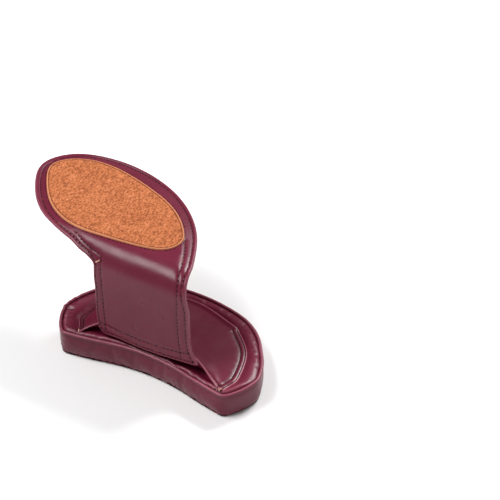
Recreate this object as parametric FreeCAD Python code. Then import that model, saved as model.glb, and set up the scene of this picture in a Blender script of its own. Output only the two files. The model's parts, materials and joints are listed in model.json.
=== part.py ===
# Soft violin shoulder pad with an attached chinrest cover.
# A kidney-shaped foam pad lies under the violin's lower bout. A leather flap rises from its front
# edge, past the violin's ribs, and folds over the chinrest as an oval padded cover.
#
# Frame: origin in the plane of the pad's underside, near its middle, +Z up, +X towards the treble
# side, +Y towards the violin's scroll. Millimetres.
import FreeCAD
import Part
import math
import os

os.makedirs("parts", exist_ok=True)
V = FreeCAD.Vector

# ---------------------------------------------------------------- driving dimensions
LEATHER = 1.2            # outer leather
LINING = 0.8             # thin lining leather
SUEDE = 1.4              # suede underside of the pad

PAD_MIDDLE_X = 3.0       # the pad is the same both ways from here
# Right half of the pad's outline, from its front corner back, with x from the pad's middle.
PAD_FRONT = (58.3, -40.0)
PAD_SHOULDER = (66.7, -28.0)
PAD_WIDEST = (70.4, -16.0)
PAD_SIDE = (67.0, -5.0)
PAD_WAIST = (58.6, 8.5)
PAD_BACK_CORNER = (48.5, 20.5)
PAD_BACK = (34.0, 29.0)
PAD_BACK_MID_Y = 34.0
# Its front edge, from the corner to the hollow in the middle.
PAD_FRONT_BOW = (45.0, -38.0)
PAD_FRONT_TURN = (30.0, -34.9)
PAD_HOLLOW_Y = -31.2
PAD_CORNER_R = 3.0
PAD_BAND_TOP = 16.8      # top of the side band and of the foam
PIPING_SIZE = 2.2        # piping cord width
PIPING_RISE = 0.8        # how far the piping stands over the top panel
PAD_INSET = 0.8          # side band and underside, in from the piping

# Right half of the carrier band's outline, in the same way.
BAND_CORNER = (53.0, -35.6)
BAND_END = (55.8, -28.5)
BAND_WIDEST = (58.6, -19.5)
BAND_SIDE = (51.8, 2.0)
BAND_BACK = (36.0, 18.5)
BAND_FRONT_Y = -28.4
BAND_BACK_MID_Y = 27.0

FLAP_LEFT = -37.0
FLAP_RIGHT = 30.0
FLAP_HINGE_Y = -28.6     # fold line at the hem, in the plane between the leather and its lining
FLAP_HINGE_Z = 20.6
FLAP_HEM = 0.8           # hem, over the fold line
FLAP_HEIGHT = 57.4       # top edge, over the fold line
FLAP_LEAN = 2.9          # degrees that the flap tips back towards the violin

COVER_FRONT_Y = -24.0
COVER_BOTTOM = 80.5      # underside of the cover's lining
COVER_FOAM = 2.3
PATCH_THICKNESS = 0.9
POCKET_GAP = 7.0         # room for the chinrest plate
POCKET_MOUTH_X = -46.0

THREAD = 0.35            # height of a stitch over the leather
STITCH = 1.8             # length of a stitch
STITCH_WIDTH = 0.6
PITCH = 2.9              # from one stitch to the next
ROW_GAP = 4.6            # between the two rows of a double seam
SEAM_GAP = 0.08          # between the bottom seam's thread and the side band
CORNER_TURN = 0.1        # a turn, in radians over half a pitch, too tight for a straight stitch

ELASTIC_D = 2.6
TAB_SIZE = (7.0, 6.0, 3.9)

# Right half of the cover's rim is a long curve, the left end is rounder and the front is cut off
# straight where the flap joins it.
COVER_RIM = [(FLAP_RIGHT, COVER_FRONT_Y), (24.5, -11.5), (11.0, 17.0), (-10.0, 38.5), (-42.0, 53.0),
             (-76.0, 54.5), (-101.0, 45.0), (-110.0, 29.0), (-104.0, 11.0), (-84.0, -11.0),
             (-60.0, -20.5), (FLAP_LEFT, COVER_FRONT_Y)]
PATCH_RIM = [(5.8, 10.5), (-11.5, 28.6), (-40.5, 41.0), (-70.0, 46.2), (-92.0, 42.0), (-103.0, 30.0),
             (-97.5, 14.5), (-79.0, -6.0), (-62.0, -13.2), (-35.0, -13.6), (-11.0, -10.2), (5.2, -1.8)]

POCKET_RIM = [(POCKET_MOUTH_X, 46.5), (-75.0, 48.0), (-96.0, 40.5), (-103.5, 28.0), (-97.0, 12.5),
              (-80.0, -5.0), (-62.0, -13.0), (POCKET_MOUTH_X, -15.5)]

# The elastic loop leaves the back seam, lies on the table and comes back to the seam.
ELASTIC_ROUTE = [(-20.0, 37.6, 2.6), (-21.5, 51.0, 1.5), (-28.5, 68.0, 1.4), (-38.0, 86.0, 1.4),
                 (-51.0, 102.0, 1.4), (-69.0, 115.0, 1.4), (-90.0, 119.0, 1.4), (-109.0, 111.0, 1.4),
                 (-118.0, 94.0, 1.4), (-111.0, 78.0, 1.4), (-95.0, 68.0, 1.4), (-77.0, 60.0, 1.4),
                 (-61.0, 54.5, 1.4), (-46.0, 50.5, 1.4), (-35.0, 45.5, 1.5), (-31.5, 34.5, 2.6)]

COVER_FOAM_Z = COVER_BOTTOM + LINING
COVER_PANEL_Z = COVER_FOAM_Z + COVER_FOAM
COVER_TOP = COVER_PANEL_Z + LEATHER
PAD_TOP = PAD_BAND_TOP + LEATHER
UP = V(0, 0, 1)


# ---------------------------------------------------------------- helpers
def save(shape, node):
    shape.exportStep("parts/" + node + ".step")
    print(node, "volume", round(shape.Volume, 1), "solids", len(shape.Solids), "valid", shape.isValid())


def arc(a, b, c):
    return Part.Arc(V(*a, 0), V(*b, 0), V(*c, 0)).toShape()


def line(a, b):
    return Part.LineSegment(V(*a, 0), V(*b, 0)).toShape()


def on_side(point, side):
    """A place given from the pad's middle, on its right side (1) or its left side (-1)."""
    return (PAD_MIDDLE_X + side * point[0], point[1])


def spline(points, closed):
    curve = Part.BSplineCurve()
    curve.interpolate([V(x, y, 0) for x, y in points], PeriodicFlag=closed)
    return curve.toShape()


def plate(face, z, thickness):
    solid = face.extrude(V(0, 0, thickness))
    solid.translate(V(0, 0, z))
    return solid


def box(x0, x1, y0, y1, z0, z1):
    return Part.makeBox(x1 - x0, y1 - y0, z1 - z0, V(x0, y0, z0))


def stitch_row(path, normal, lift):
    """Separate thread stitches laid along a path, standing on the surface that the path lies in."""
    count = max(2, int(path.Length / PITCH))
    points = path.discretize(Number=2 * count + 1)
    stitches = []
    for i in range(1, 2 * count, 2):
        along = (points[i + 1] - points[i - 1]).normalize()
        side = normal.cross(along)
        corner = points[i] - along * (STITCH / 2) - side * (STITCH_WIDTH / 2) + normal * lift
        outline = [corner, corner + along * STITCH, corner + along * STITCH + side * STITCH_WIDTH,
                   corner + side * STITCH_WIDTH, corner]
        stitches.append(Part.Face(Part.makePolygon(outline)).extrude(normal * THREAD))
    return stitches


# ---------------------------------------------------------------- pad
def pad_face(inset):
    """Bean outline: hollowed front, bowed ends that draw in towards the back, rounded back corners."""
    middle_front = (PAD_MIDDLE_X, PAD_HOLLOW_Y)
    middle_back = (PAD_MIDDLE_X, PAD_BACK_MID_Y)
    edges = [arc(on_side(PAD_FRONT_TURN, -1), middle_front, on_side(PAD_FRONT_TURN, 1)),
             arc(on_side(PAD_BACK, -1), middle_back, on_side(PAD_BACK, 1))]
    for side in (-1, 1):
        edges.append(arc(on_side(PAD_FRONT_TURN, side), on_side(PAD_FRONT_BOW, side), on_side(PAD_FRONT, side)))
        edges.append(arc(on_side(PAD_FRONT, side), on_side(PAD_SHOULDER, side), on_side(PAD_WIDEST, side)))
        edges.append(arc(on_side(PAD_WIDEST, side), on_side(PAD_SIDE, side), on_side(PAD_WAIST, side)))
        edges.append(arc(on_side(PAD_WAIST, side), on_side(PAD_BACK_CORNER, side), on_side(PAD_BACK, side)))
    sharp = Part.Face(Part.Wire(Part.__sortEdges__(edges)))
    inner = sharp.makeOffset2D(-PAD_CORNER_R)
    return inner.makeOffset2D(PAD_CORNER_R - inset)


def pad_bottom_panel():
    return plate(pad_face(PAD_INSET), 0, SUEDE)


def pad_side_band():
    ring = pad_face(PAD_INSET).cut(pad_face(PAD_INSET + LEATHER))
    return plate(ring, SUEDE, PAD_BAND_TOP - SUEDE)


def pad_foam_core():
    return plate(pad_face(PAD_INSET + LEATHER), SUEDE, PAD_BAND_TOP - SUEDE)


def pad_top_panel():
    return plate(pad_face(PIPING_SIZE), PAD_BAND_TOP, LEATHER)


def top_piping():
    ring = pad_face(0).cut(pad_face(PIPING_SIZE))
    return plate(ring, PAD_BAND_TOP, LEATHER + PIPING_RISE)


def carrier_band():
    """Leather band across the pad's top, sewn at its ends and back and free along its front."""
    front_left = (FLAP_LEFT, BAND_FRONT_Y)
    front_right = (FLAP_RIGHT, BAND_FRONT_Y)
    middle_back = (PAD_MIDDLE_X, BAND_BACK_MID_Y)
    edges = [line(on_side(BAND_CORNER, -1), front_left),
             line(front_left, front_right),
             line(front_right, on_side(BAND_CORNER, 1)),
             arc(on_side(BAND_BACK, -1), middle_back, on_side(BAND_BACK, 1))]
    for side in (-1, 1):
        edges.append(arc(on_side(BAND_CORNER, side), on_side(BAND_END, side), on_side(BAND_WIDEST, side)))
        edges.append(arc(on_side(BAND_WIDEST, side), on_side(BAND_SIDE, side), on_side(BAND_BACK, side)))
    outline = Part.Wire(Part.__sortEdges__(edges))
    return plate(Part.Face(outline), PAD_TOP, LEATHER)


def skips_stitch(before, point, after):
    """The bottom seam has no stitch on its sharp front corners or behind the elastic's tabs."""
    if (point - before).getAngle(after - point) > CORNER_TURN:
        return True
    reach = TAB_SIZE[0] / 2 + STITCH
    return point.y > 0 and min(abs(point.x - end[0]) for end in (ELASTIC_ROUTE[0], ELASTIC_ROUTE[-1])) < reach


def base_stitching():
    """Thread of the bottom seam, round the side band just over the underside."""
    rim = pad_face(PAD_INSET).OuterWire
    middle = V(PAD_MIDDLE_X, 0, 0)
    stitches = []
    count = int(rim.Length / PITCH)
    points = rim.discretize(Number=2 * count + 1)
    for i in range(1, 2 * count, 2):
        if skips_stitch(points[i - 1], points[i], points[i + 1]):
            continue
        along = (points[i + 1] - points[i - 1]).normalize()
        outward = along.cross(UP)
        if outward.dot(points[i] - middle) < 0:
            outward = outward * -1
        corner = points[i] - along * (STITCH / 2) + outward * SEAM_GAP + V(0, 0, SUEDE + 0.4)
        outline = [corner, corner + along * STITCH, corner + along * STITCH + UP * STITCH_WIDTH,
                   corner + UP * STITCH_WIDTH, corner]
        stitches.append(Part.Face(Part.makePolygon(outline)).extrude(outward * THREAD))
    return Part.makeCompound(stitches)


# ---------------------------------------------------------------- elastic loop
def rounded_route(points):
    """Straight runs joined by tangent arcs as large as their runs allow."""
    corners = [V(*p) for p in points]
    edges = []
    start = corners[0]
    for i in range(1, len(corners) - 1):
        before = corners[i - 1] - corners[i]
        after = corners[i + 1] - corners[i]
        turn = math.pi - before.getAngle(after)
        cut = 0.45 * min(before.Length, after.Length)
        radius = cut / math.tan(turn / 2)
        first = corners[i] + before.normalize() * cut
        last = corners[i] + after.normalize() * cut
        inward = (before + after).normalize()
        centre = corners[i] + inward * (radius / math.cos(turn / 2))
        middle = centre - inward * radius
        edges.append(Part.LineSegment(start, first).toShape())
        edges.append(Part.Arc(first, middle, last).toShape())
        start = last
        print("elastic corner", i, "turn", round(math.degrees(turn), 1), "radius", round(radius, 1))
    edges.append(Part.LineSegment(start, corners[-1]).toShape())
    return Part.Wire(edges)


def elastic_loop():
    route = rounded_route(ELASTIC_ROUTE)
    direction = V(*ELASTIC_ROUTE[1]) - V(*ELASTIC_ROUTE[0])
    section = Part.Wire(Part.makeCircle(ELASTIC_D / 2, V(*ELASTIC_ROUTE[0]), direction))
    tube = route.makePipeShell([section], True, True)
    swept = math.pi * ELASTIC_D ** 2 / 4 * route.Length
    print("elastic length", round(route.Length, 1), "volume", round(tube.Volume, 1), "expected", round(swept, 1))
    return tube


def elastic_tab(route_end, elastic):
    """Folded leather tab, sewn into the back seam, that grips one end of the elastic."""
    width, depth, height = TAB_SIZE
    x = route_end[0]
    y = route_end[1]
    tab = box(x - width / 2, x + width / 2, y - depth, y, SUEDE / 2, SUEDE / 2 + height)
    return tab.cut(plate(pad_face(PAD_INSET), 0, PAD_BAND_TOP)).cut(elastic)


# ---------------------------------------------------------------- flap
def leaned(shape):
    """Tips a shape drawn upright over the fold line back towards the violin."""
    shape.rotate(V(0, 0, 0), V(1, 0, 0), -FLAP_LEAN)
    shape.translate(V(0, FLAP_HINGE_Y, FLAP_HINGE_Z))
    return shape


def flap_outer():
    return leaned(box(FLAP_LEFT, FLAP_RIGHT, -LEATHER, 0, FLAP_HEM, FLAP_HEIGHT))


def flap_lining():
    return leaned(box(FLAP_LEFT, FLAP_RIGHT, 0, LINING, FLAP_HEM, FLAP_HEIGHT))


def flap_stitching():
    """Double rows down both sides of the flap and along its hem."""
    outward = V(0, -1, 0)
    top = FLAP_HEIGHT - 2.0
    stitches = []
    for margin in (2.6, 2.6 + ROW_GAP):
        left = FLAP_LEFT + margin
        right = FLAP_RIGHT - margin
        low = FLAP_HEM + margin
        rows = [(V(left, -LEATHER, top), V(left, -LEATHER, low)),
                (V(left + PITCH, -LEATHER, low), V(right - PITCH, -LEATHER, low)),
                (V(right, -LEATHER, low), V(right, -LEATHER, top))]
        for a, b in rows:
            stitches += stitch_row(Part.LineSegment(a, b).toShape(), outward, 0)
    return leaned(Part.makeCompound(stitches))


# ---------------------------------------------------------------- chin cover
def inset_curve(curve, inset, count):
    """Points along a counter-clockwise curve, moved inwards by the inset."""
    points = curve.discretize(Number=count)
    moved = []
    for i in range(count):
        ahead = points[min(i + 1, count - 1)]
        behind = points[max(i - 1, 0)]
        inward = UP.cross(ahead - behind).normalize()
        moved.append(points[i] + inward * inset)
    return moved


def cover_rim(inset):
    """The cover's rim, or a curve inside it, from its front right end round to its front left end."""
    if inset == 0:
        return spline(COVER_RIM, False)
    front_y = COVER_FRONT_Y + inset
    moved = inset_curve(spline(COVER_RIM, False), inset, 40)
    points = [(p.x, p.y) for p in moved if p.y > front_y + 1.0]
    first = (points[0][0] + 0.5, front_y)
    last = (points[-1][0] + 1.5, front_y)
    return spline([first] + points + [last], False)


def cover_face(inset=0):
    rim = cover_rim(inset)
    ends = [(v.Point.x, v.Point.y) for v in (rim.Vertexes[-1], rim.Vertexes[0])]
    return Part.Face(Part.Wire([rim, line(*ends)]))


def patch_rim(inset):
    if inset == 0:
        return spline(PATCH_RIM, True)
    closed = inset_curve(spline(PATCH_RIM, True), inset, 37)
    return spline([(p.x, p.y) for p in closed[1:-1]], True)


def patch_face():
    return Part.Face(Part.Wire([patch_rim(0)]))


def chin_lining():
    return plate(cover_face(), COVER_BOTTOM, LINING)


def chin_foam():
    return plate(cover_face(1.5), COVER_FOAM_Z, COVER_FOAM)


def chin_panel():
    return plate(cover_face(), COVER_PANEL_Z, LEATHER)


def chin_patch():
    return plate(patch_face(), COVER_TOP, PATCH_THICKNESS)


def pocket_face(inset):
    """The pocket's outline, or one inside it; the straight mouth edge stays where it is."""
    curve = inset_curve(spline(POCKET_RIM, False), inset, 24)
    points = [(p.x, p.y) for p in curve]
    points[0] = (POCKET_MOUTH_X, points[0][1])
    points[-1] = (POCKET_MOUTH_X, points[-1][1])
    return Part.Face(Part.Wire([spline(points, False), line(points[-1], points[0])]))


def chin_pocket():
    """Underside pocket: a flat panel hung from the lining by a wall, open towards the treble side."""
    bottom = COVER_BOTTOM - POCKET_GAP - LINING
    shell = plate(pocket_face(0), bottom, LINING + POCKET_GAP)
    return shell.cut(plate(pocket_face(LINING), bottom + LINING, POCKET_GAP))


def rim_stitching():
    """One row of stitches round the cover, just inside its rim."""
    return Part.makeCompound(stitch_row(cover_rim(2.6), UP, COVER_TOP))


def patch_stitching():
    """One row of stitches on the suede, just inside the patch's edge."""
    return Part.makeCompound(stitch_row(patch_rim(2.0), UP, COVER_TOP + PATCH_THICKNESS))


# ---------------------------------------------------------------- output
save(pad_bottom_panel(), "pad_bottom_panel")
save(pad_side_band(), "pad_side_band")
save(pad_foam_core(), "pad_foam_core")
save(pad_top_panel(), "pad_top_panel")
save(top_piping(), "top_piping")
save(carrier_band(), "carrier_band")
save(base_stitching(), "base_stitching")
elastic = elastic_loop()
save(elastic, "elastic_loop")
save(elastic_tab(ELASTIC_ROUTE[0], elastic), "elastic_tab_right")
save(elastic_tab(ELASTIC_ROUTE[-1], elastic), "elastic_tab_left")
save(flap_outer(), "flap_outer")
save(flap_lining(), "flap_lining")
save(flap_stitching(), "flap_stitching")
save(chin_lining(), "chin_lining")
save(chin_foam(), "chin_foam")
save(chin_panel(), "chin_panel")
save(chin_patch(), "chin_patch")
save(chin_pocket(), "chin_pocket")
save(rim_stitching(), "rim_stitching")
save(patch_stitching(), "patch_stitching")
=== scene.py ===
"""Looks of a soft violin shoulder pad with a leather chinrest cover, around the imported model."""

import json
import math

import bmesh
import bpy
import numpy as np
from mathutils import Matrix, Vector
from mathutils.bvhtree import BVHTree
from mathutils.geometry import delaunay_2d_cdt


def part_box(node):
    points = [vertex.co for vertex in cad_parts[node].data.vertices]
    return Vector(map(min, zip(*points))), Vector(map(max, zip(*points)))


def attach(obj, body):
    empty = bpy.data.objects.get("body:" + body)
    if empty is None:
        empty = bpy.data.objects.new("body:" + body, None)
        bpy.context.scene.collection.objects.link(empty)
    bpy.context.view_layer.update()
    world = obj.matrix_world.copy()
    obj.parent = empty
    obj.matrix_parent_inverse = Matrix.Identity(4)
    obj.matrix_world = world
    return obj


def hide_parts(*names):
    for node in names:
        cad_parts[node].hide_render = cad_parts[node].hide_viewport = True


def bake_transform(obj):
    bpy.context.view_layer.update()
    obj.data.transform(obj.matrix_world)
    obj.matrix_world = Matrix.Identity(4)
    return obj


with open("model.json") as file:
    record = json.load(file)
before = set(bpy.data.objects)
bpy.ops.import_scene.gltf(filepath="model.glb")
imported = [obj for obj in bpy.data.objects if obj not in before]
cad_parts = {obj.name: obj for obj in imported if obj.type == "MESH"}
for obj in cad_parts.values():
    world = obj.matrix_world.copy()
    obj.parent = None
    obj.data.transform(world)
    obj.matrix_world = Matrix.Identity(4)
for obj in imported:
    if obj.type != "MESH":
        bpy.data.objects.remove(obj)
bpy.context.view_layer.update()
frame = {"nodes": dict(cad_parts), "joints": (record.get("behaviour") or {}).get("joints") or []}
scene = bpy.context.scene
random = np.random.default_rng(7)

MM = 0.001
LEATHER = 1.2 * MM
LINING = 0.8 * MM
LEAN = math.radians(2.9)         # the flap tips back from upright
BEND_R = 13.0 * MM               # bend between the flap and the cover
FOAM_HALF = 1.15 * MM            # foam on each side of the cover's middle
STITCH_PITCH = 2.9 * MM
FINE_PITCH = 2.1 * MM
SOFT_EDGE = 1.1 * MM             # radius of a folded leather edge

HINGE = {j["name"]: Vector(j["pos_m"]) for j in frame["joints"]}
FOLD_Y = HINGE["flap_fold"].y
FOLD_Z = HINGE["flap_fold"].z
COVER_MIDDLE_Z = (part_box("chin_lining")[0].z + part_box("chin_panel")[1].z) / 2 - 0.2 * MM
BEND_START_Z = COVER_MIDDLE_Z - BEND_R * (1 - math.sin(LEAN))
BEND_START_V = (BEND_START_Z - FOLD_Z) / math.cos(LEAN)
BEND_END_V = BEND_START_V + BEND_R * (math.pi / 2 - LEAN)
BEND_Y = FOLD_Y + BEND_START_V * math.sin(LEAN) + BEND_R * math.cos(LEAN)
BEND_Z = COVER_MIDDLE_Z - BEND_R
PAD_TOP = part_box("pad_top_panel")[1].z

BAND_PITCH = 2.4 * MM            # from one stitch to the next on the pad and its band
BAND_ROWS = ((1.0, 3.0), (1.1, 4.0))     # mm in from the bass and the treble seam
BAND_SINK = 1.5 * MM             # how far the pad's top lies lower under the band
ROLL_SWELL = 2.3 * MM            # most that the stuffing lifts the roll round the band
SIDE_SWELL = 1.5 * MM            # and pushes out the side
FRONT_RIDGE = 1.0 * MM
PUCKER = 1.0 * MM
PIPING_R = 1.08 * MM
RUB_AND_HIGHLIGHT = (0.44, 0.14, 0.19)      # leather's lighter colour where it is rubbed, also painted on as highlight on edges, crests and the piping's top


# ---------------------------------------------------------------- camera and cord
def camera():
    """The view from above the player's right, along the violin's neck."""
    aim = Vector((20.6, 64.8, 40.0)) * MM
    azimuth, elevation, distance = math.radians(29.88), math.radians(40.93), 1.584
    back = Vector((math.sin(azimuth) * math.cos(elevation),
                   -math.cos(azimuth) * math.cos(elevation), math.sin(elevation)))
    data = bpy.data.cameras.new("camera")
    data.lens = 180.1
    data.sensor_width = 36.0
    data.clip_start = 0.05
    data.dof.use_dof = False
    view = bpy.data.objects.new("camera", data)
    view.location = aim + back * distance
    view.rotation_mode = "QUATERNION"
    view.rotation_quaternion = (-back).to_track_quat("-Z", "Y")
    scene.collection.objects.link(view)
    scene.camera = view


def elastic():
    """Limp loop of round elastic, relaxed behind the pad, from tab to tab."""
    route = [(-20.0, 37.6, 2.6), (-21.5, 51.0, 1.5), (-28.5, 68.0, 1.4), (-38.0, 86.0, 1.4),
             (-51.0, 102.0, 1.4), (-69.0, 115.0, 1.4), (-90.0, 119.0, 1.4), (-109.0, 111.0, 1.4),
             (-118.0, 94.0, 1.4), (-111.0, 78.0, 1.4), (-95.0, 68.0, 1.4), (-77.0, 60.0, 1.4),
             (-61.0, 54.5, 1.4), (-46.0, 50.5, 1.4), (-35.0, 45.5, 1.5), (-31.5, 34.5, 2.6)]
    diameter = 2.6 * MM
    curve = bpy.data.curves.new("elastic_cord", "CURVE")
    curve.dimensions = "3D"
    spline = curve.splines.new("NURBS")
    spline.points.add(len(route) - 1)
    for point, (x, y, z) in zip(spline.points, route):
        point.co = (x * MM, y * MM, z * MM, 1.0)
    spline.order_u = 3
    spline.use_endpoint_u = True
    spline.resolution_u = 12
    curve.bevel_depth = diameter / 2
    curve.bevel_resolution = 4
    curve.use_fill_caps = True
    cord = bpy.data.objects.new("elastic_cord", curve)
    scene.collection.objects.link(cord)
    cord.data.materials.append(elastic_material())
    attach(cord, "pad")
    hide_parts("elastic_loop")


# ---------------------------------------------------------------- materials
def shader(name, roughness, **sockets):
    """A material with its principled shader, and the tools to add nodes to it."""
    material = bpy.data.materials.new(name)
    material.use_nodes = True
    tree = material.node_tree
    principled = tree.nodes["Principled BSDF"]
    principled.inputs["Roughness"].default_value = roughness
    for socket, value in sockets.items():
        principled.inputs[socket.replace("_", " ")].default_value = value
    return material, tree, principled


def place(tree, scale=(1, 1, 1)):
    """Object coordinates, stretched by a scale."""
    coordinates = tree.nodes.new("ShaderNodeTexCoord")
    mapping = tree.nodes.new("ShaderNodeMapping")
    mapping.inputs["Scale"].default_value = scale
    tree.links.new(coordinates.outputs["Object"], mapping.inputs["Vector"])
    return mapping.outputs["Vector"]


def noise(tree, vector, per_metre, detail=3.0, roughness=0.55):
    """Cloudy noise, about 0.5."""
    node = tree.nodes.new("ShaderNodeTexNoise")
    node.inputs["Scale"].default_value = per_metre
    node.inputs["Detail"].default_value = detail
    node.inputs["Roughness"].default_value = roughness
    tree.links.new(vector, node.inputs["Vector"])
    return node.outputs["Fac"]


def cells(tree, vector, per_metre):
    """Pebbles: distance to the nearest cell's edge."""
    node = tree.nodes.new("ShaderNodeTexVoronoi")
    node.feature = "DISTANCE_TO_EDGE"
    node.inputs["Scale"].default_value = per_metre
    tree.links.new(vector, node.inputs["Vector"])
    return node.outputs["Distance"]


def remap(tree, value, low, high, to_low, to_high):
    """A value carried from one range to another, held at its ends."""
    node = tree.nodes.new("ShaderNodeMapRange")
    for name, number in (("From Min", low), ("From Max", high), ("To Min", to_low), ("To Max", to_high)):
        node.inputs[name].default_value = number
    tree.links.new(value, node.inputs["Value"])
    return node.outputs["Result"]


def mixed(tree, factor, first, second):
    """A colour between two, each a colour or a node's output."""
    node = tree.nodes.new("ShaderNodeMix")
    node.data_type = "RGBA"
    tree.links.new(factor, node.inputs["Factor"])
    for socket, colour in ((node.inputs["A"], first), (node.inputs["B"], second)):
        if isinstance(colour, tuple):
            socket.default_value = (*colour, 1.0)
        else:
            tree.links.new(colour, socket)
    return node.outputs["Result"]


def mark(tree, name):
    """A value painted on the mesh's points."""
    node = tree.nodes.new("ShaderNodeAttribute")
    node.attribute_name = name
    return node.outputs["Fac"]


def bumps(tree, principled, *layers):
    """Bump from (height output, strength, distance) layers, coarse first."""
    normal = None
    for height, strength, distance in layers:
        node = tree.nodes.new("ShaderNodeBump")
        node.inputs["Strength"].default_value = strength
        node.inputs["Distance"].default_value = distance
        tree.links.new(height, node.inputs["Height"])
        if normal is not None:
            tree.links.new(normal, node.inputs["Normal"])
        normal = node.outputs["Normal"]
    tree.links.new(normal, principled.inputs["Normal"])


def leather_material(name, dark, light, roughness=0.31):
    """Semi-gloss maroon leather: fine pores, faint pebbles, cloudy colour, lighter edges that are partly rub
    and partly painted highlight, and painted shade along the seams.
    """
    material, tree, principled = shader(name, roughness)
    principled.inputs["Specular IOR Level"].default_value = 0.31
    vector = place(tree)
    cloud = noise(tree, vector, 28, 4)
    pores = noise(tree, vector, 1500, 2)
    colour = mixed(tree, remap(tree, cloud, 0.3, 0.7, 0, 1), dark, light)
    speck = remap(tree, pores, 0.35, 0.6, 0.3, 0.0)
    colour = mixed(tree, speck, colour, tuple(c * 0.45 for c in dark))
    # lighter where the mark is above zero: partly rub, partly painted highlight
    colour = mixed(tree, remap(tree, mark(tree, "wear_and_painted_light"), 0, 1, 0, 0.55), colour, RUB_AND_HIGHLIGHT)
    # painted shade along the seams, where the mark is below zero
    painted_seam_shade = remap(tree, mark(tree, "wear_and_painted_light"), -1, 0, 0.85, 0)
    colour = mixed(tree, painted_seam_shade, colour, tuple(c * 0.12 for c in dark))
    tree.links.new(colour, principled.inputs["Base Color"])
    tree.links.new(remap(tree, noise(tree, vector, 90, 3), 0.3, 0.7, roughness - 0.05, roughness + 0.07),
                   principled.inputs["Roughness"])
    bumps(tree, principled, (noise(tree, vector, 110, 3), 0.14, 0.22 * MM),
          (cells(tree, vector, 1100), 0.12, 0.06 * MM), (pores, 0.2, 0.05 * MM))
    return material


def suede_material(name, dark, light, edge):
    """Napped suede: mottled, speckled with short fibres, lighter at its cut edge, with painted shade along
    its seam.
    """
    material, tree, principled = shader(name, 0.95)
    principled.inputs["Sheen Weight"].default_value = 0.12
    principled.inputs["Sheen Roughness"].default_value = 0.45
    principled.inputs["Sheen Tint"].default_value = (1.0, 0.72, 0.5, 1)
    principled.inputs["Specular IOR Level"].default_value = 0.12
    vector = place(tree)
    blotch = noise(tree, vector, 55, 4, 0.6)
    fibre = noise(tree, place(tree, (1.0, 0.6, 1.0)), 950, 4, 0.75)
    colour = mixed(tree, remap(tree, blotch, 0.3, 0.7, 0, 1), dark, light)
    colour = mixed(tree, remap(tree, fibre, 0.40, 0.54, 0.95, 0.0), colour, tuple(c * 0.5 for c in dark))
    colour = mixed(tree, remap(tree, fibre, 0.54, 0.66, 0.0, 0.75), colour, edge)
    colour = mixed(tree, remap(tree, mark(tree, "wear_and_painted_light"), 0, 1, 0, 1), colour, edge)
    # painted shade along the seam, where the mark is below zero
    painted_seam_shade = remap(tree, mark(tree, "wear_and_painted_light"), -1, 0, 0.8, 0)
    colour = mixed(tree, painted_seam_shade, colour, tuple(c * 0.25 for c in dark))
    tree.links.new(colour, principled.inputs["Base Color"])
    bumps(tree, principled, (blotch, 0.3, 0.3 * MM), (fibre, 0.6, 0.16 * MM))
    return material


def thread_material():
    """Waxed dark thread, twisted along its length, with orange patches painted on as glints."""
    material, tree, principled = shader("thread", 0.8)
    principled.inputs["Specular IOR Level"].default_value = 0.08
    vector = place(tree)
    twist = noise(tree, vector, 2600, 1)
    # orange patches painted on the thread as glints
    glint = remap(tree, noise(tree, vector, 420, 1), 0.56, 0.66, 0, 1)
    colour = mixed(tree, remap(tree, twist, 0.4, 0.6, 0, 1), (0.007, 0.002, 0.003), (0.028, 0.007, 0.009))
    colour = mixed(tree, glint, colour, (0.22, 0.055, 0.028))
    tree.links.new(colour, principled.inputs["Base Color"])
    bumps(tree, principled, (twist, 0.5, 0.08 * MM))
    return material


def bright_thread_material():
    """Pale end of thread at a bar tack or knot."""
    material, tree, principled = shader("bright_thread", 0.55)
    vector = place(tree)
    twist = noise(tree, vector, 2600, 1)
    tree.links.new(mixed(tree, twist, (0.42, 0.2, 0.14), (0.75, 0.45, 0.36)), principled.inputs["Base Color"])
    bumps(tree, principled, (twist, 0.5, 0.08 * MM))
    return material


def elastic_material():
    """Braided cream elastic: crossed waves for the braid, faint soiling."""
    material, tree, principled = shader("elastic", 0.7)
    vector = place(tree)
    braid = cells(tree, vector, 1300)
    cloud = noise(tree, vector, 60, 3)
    colour = mixed(tree, cloud, (0.78, 0.68, 0.46), (0.62, 0.5, 0.3))
    colour = mixed(tree, remap(tree, braid, 0.0, 0.12, 0.55, 0.0), colour, (0.3, 0.22, 0.12))
    tree.links.new(colour, principled.inputs["Base Color"])
    principled.inputs["Sheen Weight"].default_value = 0.2
    bumps(tree, principled, (braid, 0.7, 0.25 * MM))
    return material


def foam_material():
    material, tree, principled = shader("foam", 0.95)
    vector = place(tree)
    pores = cells(tree, vector, 900)
    tree.links.new(mixed(tree, remap(tree, pores, 0.0, 0.1, 0, 1), (0.35, 0.32, 0.25), (0.75, 0.72, 0.65)),
                   principled.inputs["Base Color"])
    bumps(tree, principled, (pores, 0.8, 0.4 * MM))
    return material


def floor_material():
    material, tree, principled = shader("floor", 0.75)
    tint = mixed(tree, noise(tree, place(tree), 3, 2), (0.93, 0.93, 0.93), (0.95, 0.95, 0.95))
    tree.links.new(tint, principled.inputs["Base Color"])
    return material


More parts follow.
